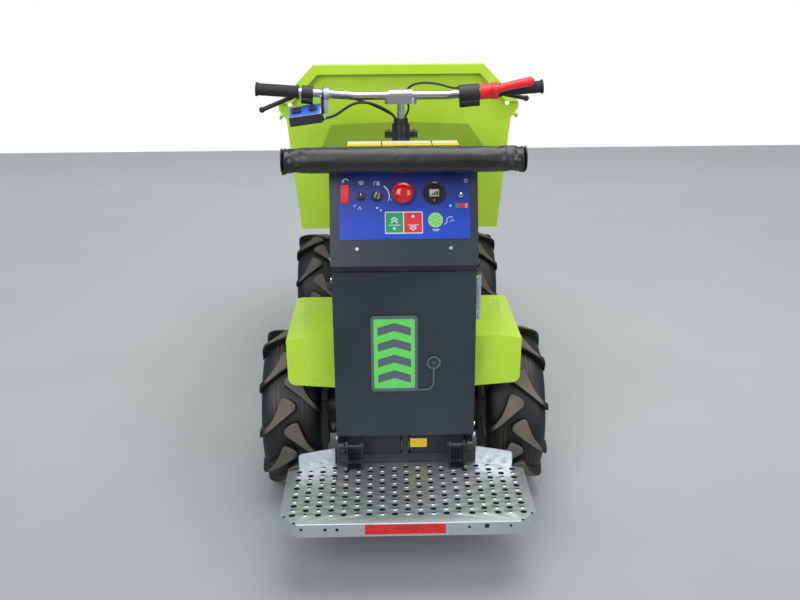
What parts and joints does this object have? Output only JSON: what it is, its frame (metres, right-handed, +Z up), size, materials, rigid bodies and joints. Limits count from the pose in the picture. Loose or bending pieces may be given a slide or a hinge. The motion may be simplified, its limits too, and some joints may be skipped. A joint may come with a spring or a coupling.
{
  "type": "site dumper",
  "caption": "Small ride-on battery site dumper: four lugged wheels, handlebar steering, console, fold-up rear platform and a forward-tipping skip.",
  "frame": {"origin": "on the floor under the middle of the machine's length and width", "axes": "+X to the operator's right, +Y forward (travel and tipping direction), +Z up"},
  "size_m": [0.8, 2.09, 1.195],
  "materials": {
    "anthracite": "anthracite powder coat, satin",
    "black_plastic": "matt black plastic",
    "black_rubber": "black cable sheath",
    "black_steel": "black paint, satin",
    "blue_plastic": "printed blue panel",
    "chrome": "bright chrome plate",
    "galvanised": "galvanised steel",
    "gloss_black": "dark glossy top plate",
    "lime": "lime green powder coat, satin",
    "red_plastic": "gloss red plastic",
    "rim": "satin light grey paint",
    "silver": "bright metal",
    "tyre": "matt moulded tread rubber",
    "vinyl": "black vinyl wrap, semi-gloss"
  },
  "bodies": {
    "chassis": {"batteries": "black_plastic", "body_shell": "anthracite", "bump_pad": "vinyl", "chassis_frame": "anthracite", "column_bearing": "black_steel", "cylinder_foot": "anthracite", "deck_hinge": "anthracite", "door_pins": "anthracite", "drive_motor": "black_steel", "fascia": "blue_plastic", "fender_left": "lime", "fender_right": "lime", "front_axle": "anthracite", "gauge": "black_plastic", "hood_top": "gloss_black", "indicator": "silver", "key_switch": "black_plastic", "knob": "black_plastic", "latch": "galvanised", "pad_bar": "anthracite", "rear_axle": "anthracite", "rocker_switch": "red_plastic", "skip_stand": "anthracite", "stop_button": "red_plastic"},
    "steering": {"brake_lever_left": "black_plastic", "brake_lever_right": "black_plastic", "cable_boot": "black_rubber", "cables": "black_rubber", "grip_left": "black_plastic", "grip_right": "black_plastic", "handlebar": "chrome", "handlebar_clamp": "chrome", "lever_mount_left": "black_plastic", "steering_column": "chrome", "switch_box": "blue_plastic", "switch_keys": "black_plastic", "throttle_collar": "red_plastic", "throttle_housing": "black_plastic", "throttle_lever": "red_plastic"},
    "knuckle_left": {"knuckle_left": "black_steel"},
    "knuckle_right": {"knuckle_right": "black_steel"},
    "tie_rod": {"tie_rod": "galvanised"},
    "drag_link": {"drag_link": "galvanised"},
    "rear_door": {"rear_door": "anthracite"},
    "platform": {"deck": "galvanised", "deck_fittings": "galvanised"},
    "skip": {"cylinder_bracket": "lime", "skip": "lime", "skip_frame": "lime", "skip_guard": "lime"},
    "barrel": {"cylinder_barrel": "black_steel"},
    "rod": {"cylinder_rod": "chrome"},
    "wheel_rear_left": {"tyre_rear_left": "tyre", "rim_rear_left": "rim"},
    "wheel_rear_right": {"tyre_rear_right": "tyre", "rim_rear_right": "rim"},
    "wheel_front_left": {"tyre_front_left": "tyre", "rim_front_left": "rim"},
    "wheel_front_right": {"tyre_front_right": "tyre", "rim_front_right": "rim"}
  },
  "joints": [
    {"name": "steer", "type": "hinge", "parent": "chassis", "child": "steering", "pos_m": [0, -0.454, 1.03], "axis": [0, 0, 1], "range_deg": [-28, 28]},
    {"name": "knuckle_left", "type": "hinge", "parent": "chassis", "child": "knuckle_left", "pos_m": [-0.205, 0.716, 0.228], "axis": [0, 0, 1], "range_deg": [-28, 28]},
    {"name": "knuckle_right", "type": "hinge", "parent": "chassis", "child": "knuckle_right", "pos_m": [0.205, 0.716, 0.228], "axis": [0, 0, 1], "range_deg": [-28, 28]},
    {"name": "tie_rod", "type": "hinge", "parent": "knuckle_left", "child": "tie_rod", "pos_m": [-0.205, 0.606, 0.184], "axis": [0, 0, 1], "range_deg": [-28, 28]},
    {"name": "drag_link", "type": "hinge", "parent": "steering", "child": "drag_link", "pos_m": [0.03, -0.564, 0.455], "axis": [0, 0, 1], "range_deg": [-28, 28]},
    {"name": "wheel_rear_left", "type": "hinge", "parent": "chassis", "child": "wheel_rear_left", "pos_m": [-0.314, -0.434, 0.228], "axis": [1, 0, 0], "continuous": true},
    {"name": "wheel_rear_right", "type": "hinge", "parent": "chassis", "child": "wheel_rear_right", "pos_m": [0.314, -0.434, 0.228], "axis": [1, 0, 0], "continuous": true},
    {"name": "wheel_front_left", "type": "hinge", "parent": "knuckle_left", "child": "wheel_front_left", "pos_m": [-0.314, 0.716, 0.228], "axis": [1, 0, 0], "continuous": true},
    {"name": "wheel_front_right", "type": "hinge", "parent": "knuckle_right", "child": "wheel_front_right", "pos_m": [0.314, 0.716, 0.228], "axis": [1, 0, 0], "continuous": true},
    {"name": "skip_tip", "type": "hinge", "parent": "chassis", "child": "skip", "pos_m": [0, 0.666, 0.6], "axis": [-1, 0, 0], "range_deg": [0, 70]},
    {"name": "cylinder_swing", "type": "hinge", "parent": "chassis", "child": "barrel", "pos_m": [0, 0.275, 0.35], "axis": [-1, 0, 0], "range_deg": [0, 2.17]},
    {"name": "cylinder_stroke", "type": "slide", "parent": "barrel", "child": "rod", "axis": [0, 0.6822, 0.7311], "range_m": [0, 0.1499]},
    {"name": "rear_door", "type": "hinge", "parent": "chassis", "child": "rear_door", "pos_m": [-0.188, -0.7515, 0.5], "axis": [0, 0, -1], "range_deg": [0, 100]},
    {"name": "platform_fold", "type": "hinge", "parent": "chassis", "child": "platform", "pos_m": [0, -0.772, 0.262], "axis": [1, 0, 0], "range_deg": [-90, 0]}
  ],
  "couplings": [
    {"joint": "knuckle_left", "follows": "steer", "ratio": 1},
    {"joint": "knuckle_right", "follows": "steer", "ratio": 1},
    {"joint": "tie_rod", "follows": "steer", "ratio": -1},
    {"joint": "drag_link", "follows": "steer", "ratio": -1},
    {"joint": "cylinder_swing", "follows": "skip_tip", "ratio": 0.028128},
    {"joint": "cylinder_stroke", "follows": "skip_tip", "m_per_rad": 0.12187}
  ]
}
